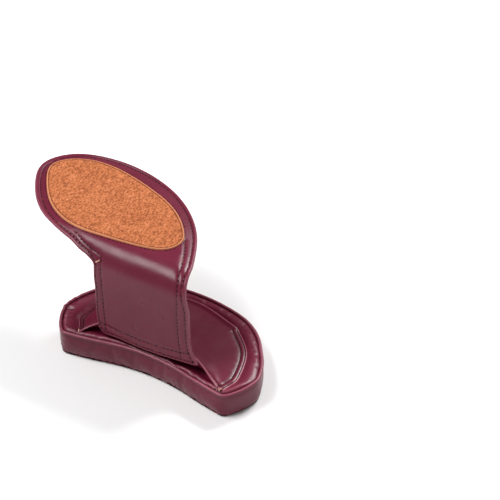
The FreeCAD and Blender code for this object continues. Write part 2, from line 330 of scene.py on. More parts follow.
# ---------------------------------------------------------------- outlines and meshes
def outline(node, facing=1):
    """Ordered (x, y) points, anticlockwise, round a CAD node's flat top, or its underside with facing -1."""
    mesh = frame["nodes"][node].data
    level = max(v.co.z * facing for v in mesh.vertices)
    uses = {}
    for face in mesh.polygons:
        corners = [mesh.vertices[i].co for i in face.vertices]
        if min(c.z * facing for c in corners) > level - 0.01 * MM:
            keys = [(round(c.x, 6), round(c.y, 6)) for c in corners]
            for pair in zip(keys, keys[1:] + keys[:1]):
                uses[frozenset(pair)] = uses.get(frozenset(pair), 0) + 1
    beside = {}
    for edge, count in uses.items():
        if count == 1 and len(edge) == 2:
            a, b = edge
            beside.setdefault(a, []).append(b)
            beside.setdefault(b, []).append(a)
    loops = []
    while beside:
        here = next(iter(beside))
        loop = []
        while here in beside:
            loop.append(here)
            onward = [p for p in beside.pop(here) if p in beside]
            here = onward[0] if onward else None
        loops.append(np.array(loop))
    widest = max(loops, key=lambda points: abs(area(points)))
    return widest if area(widest) > 0 else widest[::-1]


def spots(x, y, *places):
    """Places given in mm from a point."""
    return [(x + a * MM, y + b * MM) for a, b in places]


def unit(vectors):
    return vectors / np.maximum(np.linalg.norm(vectors, axis=1), 1e-12)[:, None]


def along_ring(ring):
    """Directions along a closed ring of points."""
    return unit(np.roll(ring, -1, 0) - np.roll(ring, 1, 0))


def inward(line, distance):
    """An open line moved to its left."""
    along = unit(np.gradient(line, axis=0))
    return line + np.stack([-along[:, 1], along[:, 0]], 1) * distance


def ring_quads(rings, count, wrap=False):
    """Faces between closed rings of points; wrap joins the last ring to the first."""
    faces = []
    for i in range(rings if wrap else rings - 1):
        j = (i + 1) % rings
        for k in range(count):
            n = (k + 1) % count
            faces.append((i * count + k, i * count + n, j * count + n, j * count + k))
    return faces


def area(loop):
    x, y = loop[:, 0], loop[:, 1]
    return 0.5 * float((x * np.roll(y, -1) - y * np.roll(x, -1)).sum())


def resample(points, step, closed=True):
    """Evenly spaced points along a polyline."""
    line = np.vstack([points, points[:1]]) if closed else np.asarray(points, float)
    runs = np.linalg.norm(np.diff(line, axis=0), axis=1)
    along = np.concatenate([[0], np.cumsum(runs)])
    count = max(3, int(round(along[-1] / step)))
    wanted = np.linspace(0, along[-1], count + 1)
    wanted = wanted[:-1] if closed else wanted
    return np.stack([np.interp(wanted, along, line[:, k]) for k in range(line.shape[1])], 1)


def rounded(loop, times):
    """Softens the corners of a closed, evenly spaced loop."""
    for _ in range(times):
        loop = (np.roll(loop, 1, 0) + 2 * loop + np.roll(loop, -1, 0)) / 4
    return loop


def curve_through(points, step, closed=False):
    """Smooth Catmull-Rom curve through a few points, evenly spaced."""
    p = np.array(points, float)
    if closed:
        p = np.vstack([p[-1:], p, p[:2]])
    else:
        p = np.vstack([2 * p[0] - p[1], p, 2 * p[-1] - p[-2]])
    t = np.linspace(0, 1, 24, endpoint=False)[:, None]
    parts = []
    for a, b, c, d in zip(p, p[1:], p[2:], p[3:]):
        parts.append(0.5 * (2 * b + (c - a) * t + (2 * a - 5 * b + 4 * c - d) * t ** 2
                            + (3 * b - a - 3 * c + d) * t ** 3))
    if not closed:
        parts.append(p[-2:-1])
    return resample(np.vstack(parts), step, closed)


def gap_to(points, line, closed=True):
    """Distance from each 2-D point to a polyline."""
    a = line if closed else line[:-1]
    b = np.roll(line, -1, 0) if closed else line[1:]
    along = b - a
    offset = points[:, None, :] - a[None]
    share = np.clip((offset * along).sum(2) / np.maximum((along ** 2).sum(1), 1e-18), 0, 1)
    return np.linalg.norm(offset - share[..., None] * along, axis=2).min(1)


def is_inside(points, loop):
    a, b = loop, np.roll(loop, -1, 0)
    x, y = points[:, 0:1], points[:, 1:2]
    crosses = (a[:, 1] > y) != (b[:, 1] > y)
    rise = np.where(b[:, 1] == a[:, 1], 1e-12, b[:, 1] - a[:, 1])
    return (crosses & (x < (b[:, 0] - a[:, 0]) * (y - a[:, 1]) / rise + a[:, 0])).sum(1) % 2 == 1


def inset(loop, distance):
    """The loop moved inwards, without the points that would fold over; the distance may vary along it."""
    distance = np.broadcast_to(distance, len(loop))
    along = along_ring(loop)
    moved = loop + np.stack([-along[:, 1], along[:, 0]], 1) * distance[:, None]
    return moved[gap_to(moved, loop) > distance * 0.97]


def fill(loop, step, rings, lines=()):
    """Points and triangles over a closed outline: rings beside its edge, lines, then an even grid."""
    layers = [loop] + [inset(loop, r) for r in rings]
    ringed = rings[-1] if rings else 0
    for line in lines:
        line = line[is_inside(line, loop)]
        layers.append(line[gap_to(line, loop) > ringed + 0.4 * step])
    low, high = loop.min(0), loop.max(0)
    rows = np.arange(low[1], high[1], step * 0.866)
    columns = np.arange(low[0], high[0], step)
    grid = np.array([(x + (i % 2) * step / 2, y) for i, y in enumerate(rows) for x in columns])
    grid = grid[is_inside(grid, loop)]
    grid = grid[gap_to(grid, loop) > ringed + 0.6 * step]
    for line in layers[1 + len(rings):]:
        if len(line) > 1:
            grid = grid[gap_to(grid, line, False) > 0.55 * step]
    points = np.vstack(layers + [grid])
    edges = [(i, (i + 1) % len(loop)) for i in range(len(loop))]
    verts, _, faces, origin, _, _ = delaunay_2d_cdt([Vector(p) for p in points], edges, [], 1, 1e-7)
    new = {old: i for i, olds in enumerate(origin) for old in olds}
    rim = [new[i] for i in range(len(loop))]
    return np.array([v[:] for v in verts]), [tuple(f) for f in faces], rim


def mesh_object(name, points, faces, material, wear_and_painted_light=None, merge=True):
    """A smooth closed piece from points and faces."""
    mesh = bpy.data.meshes.new(name)
    mesh.from_pydata(np.asarray(points).tolist(), [], faces)
    if wear_and_painted_light is not None:
        mesh.attributes.new("wear_and_painted_light", "FLOAT", "POINT").data.foreach_set("value", np.asarray(wear_and_painted_light, np.float32))
    build = bmesh.new()
    build.from_mesh(mesh)
    if merge:
        bmesh.ops.remove_doubles(build, verts=build.verts, dist=2e-6)
        bmesh.ops.dissolve_degenerate(build, dist=1e-6, edges=build.edges)
    bmesh.ops.recalc_face_normals(build, faces=build.faces)
    build.to_mesh(mesh)
    build.free()
    mesh.polygons.foreach_set("use_smooth", [True] * len(mesh.polygons))
    mesh.materials.append(material)
    piece = bpy.data.objects.new(name, mesh)
    scene.collection.objects.link(piece)
    return piece


def shell(name, faces, rim, outer, inner, material, wear_and_painted_light=None):
    """A closed piece between two surfaces with the same triangles, walled along the rim."""
    count = len(outer)
    both = list(faces) + [tuple(i + count for i in reversed(f)) for f in faces]
    for a, b in zip(rim, rim[1:] + rim[:1]):
        both.append((a, a + count, b + count, b))
    if wear_and_painted_light is not None:
        wear_and_painted_light = np.concatenate([wear_and_painted_light, wear_and_painted_light])
    return mesh_object(name, np.vstack([outer, inner]), both, material, wear_and_painted_light)


def point_normals(points, faces):
    """Unit normals of a triangle or quad skin's points."""
    total = np.zeros_like(points)
    for size in {len(f) for f in faces}:
        group = np.array([f for f in faces if len(f) == size])
        p = points[group]
        cross = np.cross(p[:, 1] - p[:, 0], p[:, 2] - p[:, 0])
        if size == 4:
            cross = cross + np.cross(p[:, 2] - p[:, 0], p[:, 3] - p[:, 0])
        for k in range(size):
            np.add.at(total, group[:, k], cross)
    return unit(total)


def open_edges(faces):
    """Directed edges that only one face uses, which is a skin's border."""
    seen = {}
    for f in faces:
        for a, b in zip(f, f[1:] + f[:1]):
            seen[(a, b)] = True
    return [(a, b) for a, b in seen if (b, a) not in seen]


def thickened(name, points, faces, thickness, material, wear_and_painted_light=None):
    """A closed piece: an outer skin, its inside and the walls along its borders."""
    count = len(points)
    inner = points - point_normals(points, faces) * thickness
    both = list(faces) + [tuple(i + count for i in reversed(f)) for f in faces]
    both += [(b, a, a + count, b + count) for a, b in open_edges(faces)]
    if wear_and_painted_light is not None:
        wear_and_painted_light = np.concatenate([wear_and_painted_light, wear_and_painted_light])
    return mesh_object(name, np.vstack([points, inner]), both, material, wear_and_painted_light)


def smooth(value, low, high):
    t = np.clip((value - low) / (high - low), 0, 1)
    return t * t * (3 - 2 * t)


def edge_curve(gap, radius):
    """From 0 at an edge to 1 a radius in, as a folded leather edge does."""
    return np.sqrt(1 - (1 - np.clip(gap / radius, 0, 1)) ** 2)


def ripple(points, wavelength, seed):
    """Gentle waves over points, from -1 to 1, as a few crossed sines."""
    maker = np.random.default_rng(seed)
    total = np.zeros(len(points))
    for _ in range(5):
        direction = maker.normal(size=points.shape[1])
        direction /= np.linalg.norm(direction)
        turn = 2 * math.pi / (wavelength * maker.uniform(0.7, 1.5))
        total += np.sin(points @ direction * turn + maker.uniform(0, 6.28))
    return total / 5


# ---------------------------------------------------------------- simulation
def puff(points, faces, held, pressure, cap, slack=0.0):
    """Swells the free part of a skin as stuffing does: cloth at ten times size, moved at most cap."""
    mesh = bpy.data.meshes.new("puff")
    mesh.from_pydata((points * 10).tolist(), [], faces)
    piece = bpy.data.objects.new("puff", mesh)
    scene.collection.objects.link(piece)
    piece.vertex_groups.new(name="held").add([int(i) for i in held], 1.0, "REPLACE")
    modifier = piece.modifiers.new("cloth", "CLOTH")
    cloth = modifier.settings
    cloth.vertex_group_mass = "held"
    cloth.quality = 8
    cloth.tension_stiffness = cloth.compression_stiffness = 12
    cloth.shear_stiffness = 6
    cloth.bending_stiffness = 0.6
    cloth.shrink_min = -slack
    cloth.use_pressure = True
    cloth.uniform_pressure_force = pressure
    cloth.effector_weights.gravity = 0
    modifier.point_cache.frame_end = 24
    for step in range(1, 21):
        scene.frame_set(step)
    swollen = piece.evaluated_get(bpy.context.evaluated_depsgraph_get()).to_mesh()
    moved = np.empty(len(points) * 3)
    swollen.vertices.foreach_get("co", moved)
    shift = moved.reshape(-1, 3) / 10 - points
    length = np.linalg.norm(shift, axis=1)[:, None]
    bpy.data.objects.remove(piece)
    scene.frame_set(1)
    return points + shift * np.minimum(1, cap / np.maximum(length, 1e-9))


def subdivided(points, faces):
    """A skin's points and faces after one smooth subdivision."""
    mesh = bpy.data.meshes.new("subdivided")
    mesh.from_pydata(points.tolist(), [], faces)
    piece = bpy.data.objects.new("subdivided", mesh)
    scene.collection.objects.link(piece)
    piece.modifiers.new("finer", "SUBSURF").levels = 1
    finer = piece.evaluated_get(bpy.context.evaluated_depsgraph_get()).to_mesh()
    places = np.empty(len(finer.vertices) * 3)
    finer.vertices.foreach_get("co", places)
    new_faces = [tuple(f.vertices) for f in finer.polygons]
    bpy.data.objects.remove(piece)
    return places.reshape(-1, 3), new_faces


# ---------------------------------------------------------------- stitches
def stitch_pieces(name, rows, length, width, height, material):
    """One piece of many small thread capsules along rows of (points, normals)."""
    steps = np.array([-1, -0.86, -0.5, 0, 0.5, 0.86, 1])
    sides = 6
    template = []
    for s in steps[1:-1]:
        size = math.sqrt(1 - abs(s) ** 3)
        for k in range(sides):
            turn = 2 * math.pi * k / sides
            template.append((s, math.cos(turn) * size, math.sin(turn) * size))
    template = np.array(template + [(-1, 0, 0), (1, 0, 0)])
    rings = len(steps) - 2
    faces = ring_quads(rings, sides)
    for k in range(sides):
        n = (k + 1) % sides
        faces.append((rings * sides, n, k))
        faces.append((rings * sides + 1, (rings - 1) * sides + k, (rings - 1) * sides + n))
    points, all_faces, total = [], [], 0
    for centres, normals, alongs in rows:
        for centre, normal, along in zip(centres, normals, alongs):
            side = np.cross(normal, along)
            slant = random.normal(0, 0.06)
            along = along * math.cos(slant) + side * math.sin(slant)
            side = np.cross(normal, along)
            long = length / 2 * random.uniform(0.92, 1.06)
            dip = -0.45 * height * template[:, 0:1] ** 4
            points.append(centre + along * template[:, 0:1] * long + side * template[:, 1:2] * width / 2
                          + normal * (template[:, 2:3] * height / 2 + dip))
            all_faces += [tuple(i + total for i in f) for f in faces]
            total += len(template)
    return mesh_object(name, np.vstack(points), all_faces, material, merge=False)


def stitch_row(surface, line, pitch, closed=False, lift=0.0):
    """Middles, normals and directions of stitches along a 2-D line on a surface (points -> place, normal)."""
    line = resample(line, pitch / 2, closed)
    middles = line[1::2] if not closed else line[::2]
    ahead = line[2::2] if not closed else np.roll(line, -1, 0)[::2]
    behind = line[0::2] if not closed else np.roll(line, 1, 0)[::2]
    count = min(len(middles), len(ahead), len(behind))
    spot, normal = surface(middles[:count])
    along = surface(ahead[:count])[0] - surface(behind[:count])[0]
    along -= normal * (along * normal).sum(1)[:, None]
    return spot + normal * lift, normal, unit(along)


# ---------------------------------------------------------------- flap and cover
def middle(flat):
    """Place and outward normal of the surface between leather and lining: u across, v up from the fold."""
    u, v = flat[:, 0], flat[:, 1]
    turn = LEAN + np.clip((v - BEND_START_V) / BEND_R, 0, math.pi / 2 - LEAN)
    normal = np.stack([np.zeros_like(u), -np.cos(turn), np.sin(turn)], 1)
    below = np.minimum(v - BEND_START_V, 0)
    past = np.maximum(v - BEND_END_V, 0)
    y = BEND_Y - BEND_R * np.cos(turn) + below * math.sin(LEAN) + past
    z = BEND_Z + BEND_R * np.sin(turn) + below * math.cos(LEAN)
    return np.stack([u, y, z], 1), normal


def unrolled(plan):
    """(x, y) places on the cover, as (u, v) of the flat leather."""
    x, y = plan[:, 0], plan[:, 1]
    turn = np.arccos(np.clip((BEND_Y - y) / BEND_R, -1, math.cos(LEAN)))
    v = np.where(y > BEND_Y, BEND_END_V + y - BEND_Y, BEND_START_V + BEND_R * (turn - LEAN))
    return np.stack([x, v], 1)


def leather_outline():
    """Flat cut of the flap and cover together: hem, right side, cover rim, inner corner, left side."""
    rim = outline("chin_panel")
    front = rim[:, 1].min()
    rim = rim[rim[:, 1] > front + 0.5 * MM]
    jump = np.linalg.norm(np.roll(rim, -1, 0) - rim, axis=1).argmax()
    rim = unrolled(np.roll(rim, -jump - 1, 0))
    low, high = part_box("flap_outer")
    left, right = low.x, high.x
    rim = rim[(rim[:, 0] < left - 18 * MM) | (rim[:, 1] > BEND_END_V - 2 * MM)]
    corner = spots(left, BEND_START_V, (-12, 7.6), (-6, 6.0), (-1.2, 3.6), (0, 2.0))
    hem = spots(left, 0, (3.6, 2.6), (5.2, 0.8), (7.6, -0.2))
    hem += spots(0, 0, (-18, 0.2), (-6, -0.3), (11, 0), (19.5, 0.8))
    hem += spots(right, 0, (-2, 1.9), (6.5, 2.8), (9.0, 3.7))
    right_side = spots(right, 0, (6.9, 6.4), (4.8, 9.2), (3.2, 12.8), (2.2, 19.5), (1.7, 30), (1.2, 42))
    left_side = spots(left, 0, (0, 42), (1.0, 31), (1.2, 17), (2.4, 6.5))
    loop = resample(np.vstack([hem, right_side, rim, corner, left_side]), 1.1 * MM)
    sharp = np.exp(-(np.linalg.norm(loop - corner[2], axis=1) / (3.5 * MM)) ** 2)[:, None]
    return loop * sharp + rounded(loop, 3) * (1 - sharp)


class Leather:
    """Thickness of the flap and cover at flat places, worked out from their cut."""

    def __init__(self):
        self.cut = leather_outline()
        low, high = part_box("flap_outer")
        left, right = low.x, high.x
        top = BEND_START_V + 6 * MM
        self.edge_row = inset(self.cut, self.row_inset(self.cut))
        corner = spots(0, BEND_END_V, (-56, -3.0)) + spots(0, BEND_START_V, (-47.5, 12.6))
        corner += spots(left, BEND_START_V, (3.6, 8.6))
        bass = spots(left, top, (5.0, 1.5)) + spots(left, 0, (5.8, 42), (7, 24), (8.4, 2.6))
        treble = spots(0, BEND_END_V, (6.9, 22), (12.4, 12.5), (18.2, -1.5))
        treble += spots(right, BEND_START_V, (-7.4, 3)) + spots(right, 0, (-7.2, 42), (-6.4, 22), (-4.0, 4.2))
        hem = spots(left, 0, (3.2, 7.6)) + spots(0, 0, (-16, 6.6), (6, 6.6))
        hem += spots(right, 0, (-6, 8.6), (1.6, 11.2))
        self.inner_rows = [curve_through(row, MM) for row in (corner, bass, treble, hem)]

    def row_inset(self, flat):
        """How far in the rim's stitches are: less at the flap's bass side and hem, more at the bass end."""
        u, v = flat.T
        bass = smooth(-u, 10 * MM, 30 * MM) * (1 - smooth(v, BEND_START_V - 6 * MM, BEND_START_V + 10 * MM))
        hem = 0.7 * (1 - smooth(v, 1 * MM, 8 * MM))
        far = smooth(-u, 80 * MM, 100 * MM)
        return (2.8 + 0.9 * far - 1.2 * np.maximum(bass, hem)) * MM

    def foam(self, flat, gap=None):
        """Half the foam's thickness."""
        gap = gap_to(flat, self.cut) if gap is None else gap
        rise = smooth(gap, 2.8 * MM, 10 * MM) * smooth(flat[:, 1], BEND_START_V + 4 * MM, BEND_END_V + 3 * MM)
        return FOAM_HALF * rise

    def dents(self, flat):
        """Shallow grooves that the thread pulls into the leather."""
        depth = 0.42 * np.exp(-(gap_to(flat, self.edge_row) / (0.55 * MM)) ** 2)
        for row in self.inner_rows:
            depth = np.maximum(depth, 0.36 * np.exp(-(gap_to(flat, row, False) / (0.55 * MM)) ** 2))
        return depth * MM

    def seams(self, flat):
        """How close each place is to a row of stitches, for the painted shade along the seams where the
        leather is pulled in.
        """
        near = gap_to(flat, self.edge_row)
        for row in self.inner_rows:
            near = np.minimum(near, gap_to(flat, row, False))
        return 0.5 * np.exp(-(near / (0.42 * MM)) ** 2)

    def waves(self, flat):
        """The soft unevenness of worn leather."""
        bend = np.exp(-((flat[:, 1] - BEND_START_V - 9 * MM) / (16 * MM)) ** 2)
        return (ripple(flat, 46 * MM, 3) * 0.35 + ripple(flat, 17 * MM, 5) * 0.10 * (0.5 + bend)) * MM

    def outside(self, flat):
        """Place and normal of the leather's outside."""
        gap = gap_to(flat, self.cut)
        spot, normal = middle(flat)
        lift = LEATHER * edge_curve(gap, SOFT_EDGE) + self.foam(flat, gap) - self.dents(flat)
        bead = 0.22 * MM * np.exp(-((gap - 1.1 * MM) / (0.8 * MM)) ** 2)
        return spot + normal * (lift + bead + self.waves(flat))[:, None], normal

    def inside(self, flat, side):
        """Inner face of the leather (side 1) or of the lining (side -1)."""
        gap = gap_to(flat, self.cut)
        spot, normal = middle(flat)
        space = self.foam(flat, gap) + 0.04 * MM * np.clip(gap / MM, 0, 1)
        return spot + normal * (side * space + self.waves(flat))[:, None]

    def lined(self, flat):
        """Outside of the lining, which faces the violin."""
        gap = gap_to(flat, self.cut)
        spot, normal = middle(flat)
        drop = LINING * edge_curve(gap, 0.8 * MM) + self.foam(flat, gap) - 0.6 * self.dents(flat)
        return spot - normal * (drop - self.waves(flat))[:, None], -normal


def cross_bend(piece):
    """Bakes a piece's placing into its mesh."""
    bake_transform(piece)
    return piece


def flap_and_cover(leather, materials):
    rings = [r * MM for r in (0.15, 0.4, 0.75, 1.2, 1.7, 2.15, 2.6, 3.05, 3.5, 4.1)]
    lines = []
    for row in leather.inner_rows:
        lines += [inward(row, s * MM) for s in (-0.9, -0.45, 0, 0.45, 0.9)]
    flat, faces, rim = fill(leather.cut, 1.9 * MM, rings, lines)
    gap = gap_to(flat, leather.cut)
    # lighter along the edge, partly rub and partly painted highlight on the folded edge; painted shade along
    # the stitch rows
    wear_and_painted_light = 0.8 * np.exp(-(gap / (0.9 * MM)) ** 2) - leather.seams(flat)
    skin = shell("cover_leather", faces, rim, leather.outside(flat)[0], leather.inside(flat, 1),
                 materials["leather"], wear_and_painted_light)
    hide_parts("flap_outer", "chin_panel")
    lining = shell("cover_lining", faces, rim, leather.lined(flat)[0], leather.inside(flat, -1),
                   materials["lining"], np.minimum(wear_and_painted_light, 0.3))
    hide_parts("flap_lining", "chin_lining")
    cross_bend(skin)
    cross_bend(lining)
    rows = [stitch_row(leather.outside, leather.edge_row, STITCH_PITCH, True, 0.05 * MM)]
    rows += [stitch_row(leather.outside, row, STITCH_PITCH, False, 0.05 * MM) for row in leather.inner_rows]
    under = [stitch_row(leather.lined, leather.edge_row, STITCH_PITCH, True, 0.05 * MM)]
    under += [stitch_row(leather.lined, row, STITCH_PITCH, False, 0.05 * MM) for row in leather.inner_rows]
    thread = stitch_pieces("cover_stitches", rows + under, 1.9 * MM, 0.8 * MM, 0.5 * MM, materials["thread"])
    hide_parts("flap_stitching", "rim_stitching")
    cross_bend(thread)
    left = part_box("flap_outer")[0].x
    bar = np.array(spots(left, BEND_START_V, (1.5, 4.0), (4.5, 6.5)))
    tack = stitch_pieces("corner_tack", [stitch_row(leather.outside, bar, 1.1 * MM, False, 0.2 * MM)],
                         1.5 * MM, 0.8 * MM, 0.6 * MM, materials["bright_thread"])
    cross_bend(tack)


def cover_foam(leather, materials):
    """Thin foam that tapers to the rim, between the leather and the lining."""
    rim = unrolled(resample(outline("chin_foam"), 2.5 * MM))
    rim = inset(rim, 2.2 * MM)
    flat, faces, border = fill(rim, 3.5 * MM, [])
    spot, normal = middle(flat)
    half = np.maximum(leather.foam(flat) - 0.02 * MM, 0.01 * MM)
    waves = leather.waves(flat)
    piece = shell("cover_foam", faces, border, spot + normal * (half + waves)[:, None],
                  spot - normal * (half - waves)[:, None], materials["foam"])
    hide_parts("chin_foam")
    cross_bend(piece)


def patch(leather, materials):
    """Suede oval sewn on the cover, with a rolled lighter edge and a fine seam inside it."""
    rim = rounded(resample(unrolled(outline("chin_patch")), 1.0 * MM), 3)
    seam = inset(rim, 1.35 * MM)
    rings = [r * MM for r in (0.12, 0.3, 0.55, 0.8, 1.1, 1.35, 1.6, 2.0, 2.6, 3.4)]
    flat, faces, border = fill(rim, 1.7 * MM, rings)
    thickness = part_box("chin_patch")[1].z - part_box("chin_patch")[0].z

    def top(places):
        gap = gap_to(places, rim)
        spot, normal = leather.outside(places)
        groove = 0.40 * MM * np.exp(-(gap_to(places, seam) / (0.38 * MM)) ** 2)
        nap = 0.05 * MM * ripple(places, 5 * MM, 11)
        roll = 0.10 * MM * np.exp(-((gap - 0.6 * MM) / (0.4 * MM)) ** 2)
        lift = thickness * edge_curve(gap, 0.6 * MM) - groove + nap * smooth(gap, 0, 3 * MM) + roll
        return spot + normal * lift[:, None], normal

    gap = gap_to(flat, rim)
    base = leather.outside(flat)[0] - middle(flat)[1] * 0.15 * MM
    # lighter at the rolled edge; painted shade in the seam's groove
    wear_and_painted_light = 0.9 * (1 - smooth(gap, 0.7 * MM, 1.1 * MM)) - 0.8 * np.exp(-((gap - 1.35 * MM) / (0.3 * MM)) ** 2)
    piece = shell("suede_patch", faces, border, top(flat)[0], base, materials["suede"], wear_and_painted_light)
    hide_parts("chin_patch")
    cross_bend(piece)

    outer_line = inset(rim[::-1], 0.75 * MM)
    rows = [stitch_row(top, seam, FINE_PITCH, True, 0.0)]
    outside = [stitch_row(leather.outside, outer_line, FINE_PITCH * 1.25, True, 0.05 * MM)]
    thread = stitch_pieces("patch_stitches", rows + outside, 1.35 * MM, 0.5 * MM, 0.42 * MM,
                           materials["thread"])
    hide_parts("patch_stitching")
    cross_bend(thread)


def pocket(materials):
    """Soft pocket under the cover that takes the chinrest's plate, open towards the treble side."""
    rim = outline("chin_pocket", -1)
    mouth_x = rim[:, 0].max()
    low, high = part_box("chin_pocket")
    rim = resample(rim, 1.5 * MM)
    sewn = rim[rim[:, 0] < mouth_x - 0.4 * MM]
    jump = np.linalg.norm(np.roll(sewn, -1, 0) - sewn, axis=1).argmax()
    sewn = np.roll(sewn, -jump - 1, 0)
    plan, faces, border = fill(rim, 2.4 * MM, [r * MM for r in (0.3, 0.8, 1.5, 2.4, 3.4, 4.6)])
    gap = gap_to(plan, sewn, False)
    depth = high.z - low.z
    sag = 0.5 * MM * ripple(plan, 30 * MM, 17) * smooth(gap, 0, 8 * MM)
    wall = edge_curve(gap, 5.0 * MM)
    outer_z = high.z - depth * wall + np.abs(sag)
    inner_z = np.minimum(outer_z + LINING * np.clip(0.35 + gap / (2 * MM), 0, 1), high.z)
    outer = np.column_stack([plan, outer_z])
    inner = np.column_stack([plan, inner_z])
    flipped = [tuple(reversed(f)) for f in faces]
    piece = shell("chin_pocket_soft", flipped, border[::-1], outer, inner, materials["lining"])
    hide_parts("chin_pocket")
    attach(piece, "chin_cover")


# ---------------------------------------------------------------- pad
def pad_outlines():
    """The pad's outline at its piping, and the smaller one of its side band."""
    piping = rounded(resample(outline("top_piping"), 1.5 * MM), 2)
    side = rounded(resample(outline("pad_bottom_panel", -1), 1.5 * MM), 2)
    return piping, side


def gathers(points, amount):
    """Puckers where the leather is gathered round the bass end of the pad."""
    turn = np.arctan2(points[:, 1] - 4 * MM, -points[:, 0])
    reach = smooth(-points[:, 0], 54 * MM, 62 * MM) * np.exp(-((points[:, 1] + 19 * MM) / (15 * MM)) ** 2)
    wander = ripple(points, 7 * MM, 41)
    return amount * reach * (np.sin(turn * 92 + wander * 2) + 0.7 * np.sin(turn * 57 + 1.1)) / 1.7


def carrier_plan():
    """Carrier band's outline, anticlockwise, and its sides: left seam, front, right seam, back."""
    low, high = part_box("carrier_band")
    flap_left, flap_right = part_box("flap_outer")[0].x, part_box("flap_outer")[1].x
    left_seam = spots(low.x, high.y, (22.6, -8.5), (8.4, -25), (2.5, -46.5), (6.4, -55.5), (9.9, -63.2))
    right_seam = spots(high.x, high.y, (-3.4, -63.4), (-1.6, -56.5), (0, -47), (-6.8, -25), (-22.6, -8.5))
    front = spots(flap_left, FOLD_Y, (-5.4, -3.2), (2, 0)) + spots(0, FOLD_Y, (0, 0.3))
    front += spots(flap_right, FOLD_Y, (2, 0), (9.4, -0.6), (14.6, -2.0), (21.4, -4.6))
    back = [((low.x + high.x) / 2, high.y)]
    sides = [curve_through(left_seam, MM), curve_through([left_seam[-1]] + front + [right_seam[0]], MM),
             curve_through(right_seam, MM), curve_through([right_seam[-1]] + back + [left_seam[0]], MM)]
    loop = resample(np.vstack([s[:-1] for s in sides]), 1.2 * MM)
    return rounded(loop, 1), sides


def pad(materials):
    piping, side = pad_outlines()
    band_loop, band_sides = carrier_plan()
    top = pad_top(piping, band_loop, materials)
    side_band(side, materials)
    underside(side, materials)
    piping_cord(piping, materials)
    return top, band_loop, band_sides


def pad_top(piping, band_loop, materials):
    """Top panel: held at the piping, sunk under the carrier band, and puffed into a roll between."""
    rim = rounded(resample(inset(piping, 1.1 * MM), 1.8 * MM), 1)
    lines = [np.vstack([line, line[:1]]) for line in (band_loop, inset(band_loop, 1.1 * MM))]
    flat, faces, _ = fill(rim, 2.0 * MM, [1.2 * MM, 2.4 * MM], lines)
    gap = gap_to(flat, rim)
    under = is_inside(flat, band_loop)
    deep = np.where(under, gap_to(flat, band_loop), 0)
    sunk = BAND_SINK * smooth(deep, 0.0, 1.0 * MM) * smooth(gap, 2 * MM, 5 * MM)
    z = PAD_TOP - 1.7 * MM * (1 - edge_curve(gap, 2.8 * MM)) - sunk
    pinned = np.flatnonzero((deep > 0.3 * MM) & (gap > 4 * MM) | (gap < 0.5 * MM))
    moved = puff(np.column_stack([flat, z]), faces, pinned, pressure=9.0, cap=ROLL_SWELL, slack=0.01)
    moved, faces = subdivided(moved, faces)
    gap = gap_to(moved[:, :2], rim)
    front = smooth(-moved[:, 1], 18 * MM, 26 * MM)
    ends = 0.3 + 0.7 * smooth(np.abs(moved[:, 0] - 6 * MM), 8 * MM, 26 * MM)
    free = smooth(moved[:, 2] - PAD_TOP, -1.2 * MM, 0)
    moved[:, 2] += FRONT_RIDGE * front * ends * free * np.exp(-((gap - 2.8 * MM) / (1.5 * MM)) ** 2)
    beside = smooth(gap, 0.3 * MM, 2.4 * MM) * (1 - smooth(gap, 4 * MM, 9 * MM))
    moved[:, 2] += gathers(moved, PUCKER) * beside
    crest = np.exp(-((gap - 2.8 * MM) / (1.2 * MM)) ** 2)
    # lighter on the roll's crown and the front ridge's crest: painted highlight, with some rub
    wear_and_painted_light = np.clip((moved[:, 2] - PAD_TOP - 0.6 * MM) / (2 * MM), 0, 0.4) + 0.25 * front * free * crest
    piece = thickened("pad_top_leather", moved, faces, LEATHER * 0.8, materials["leather"], wear_and_painted_light)
    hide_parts("pad_top_panel")
    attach(piece, "pad")
    return BVHTree.FromPolygons(moved.tolist(), faces)


def side_band(side, materials):
    """Leather boxing round the foam: bulged by its stuffing, tucked in at the bottom seam."""
    ring = resample(side, 1.8 * MM)
    count = len(ring)
    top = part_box("pad_side_band")[1].z + 0.8 * MM
    bottom = 0.3 * MM
    along = along_ring(ring)
    into_pad = np.stack([-along[:, 1], along[:, 0]], 1)
    levels = np.linspace(0, 1, 11)
    points = []
    for level in levels:
        tuck = 0.7 * MM * (1 - smooth(level, 0, 0.16)) + 0.5 * MM * smooth(level, 0.8, 1)
        place_xy = ring + into_pad * tuck
        points.append(np.column_stack([place_xy, np.full(count, bottom + (top - bottom) * level)]))
    points = np.vstack(points)
    faces = ring_quads(len(levels), count)
    pinned = list(range(count)) + list(range(len(points) - count, len(points)))
    moved = puff(points, faces, pinned, pressure=5.0, cap=SIDE_SWELL, slack=0.015)
    height = np.repeat(levels, count)
    outward = -np.tile(into_pad, (len(levels), 1))
    fold = (ripple(moved, 26 * MM, 23) * 0.22 * MM + gathers(moved, 0.45 * MM) * smooth(height, 0.35, 1))
    moved[:, :2] += outward * (fold * np.sin(math.pi * height))[:, None]
    piece = thickened("pad_side_leather", moved, faces, LEATHER * 0.8, materials["leather"],
                      0.35 * np.exp(-((height - 0.05) / 0.06) ** 2))
    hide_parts("pad_side_band", "pad_foam_core")
    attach(piece, "pad")

    line = ring + into_pad * 0.25 * MM
    seam_z = bottom + 1.0 * MM
    middles = np.column_stack([line, np.full(count, seam_z)])
    facing = unit(np.column_stack([-into_pad, np.full(count, -0.35)]))
    seam = resample(np.hstack([middles, facing]), STITCH_PITCH)
    rows = [(seam[:, :3], unit(seam[:, 3:]), along_ring(seam[:, :3]))]
    thread = stitch_pieces("base_seam_stitches", rows,
                           2.0 * MM, 0.65 * MM, 0.6 * MM, materials["thread"])
    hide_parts("base_stitching")
    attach(thread, "pad")


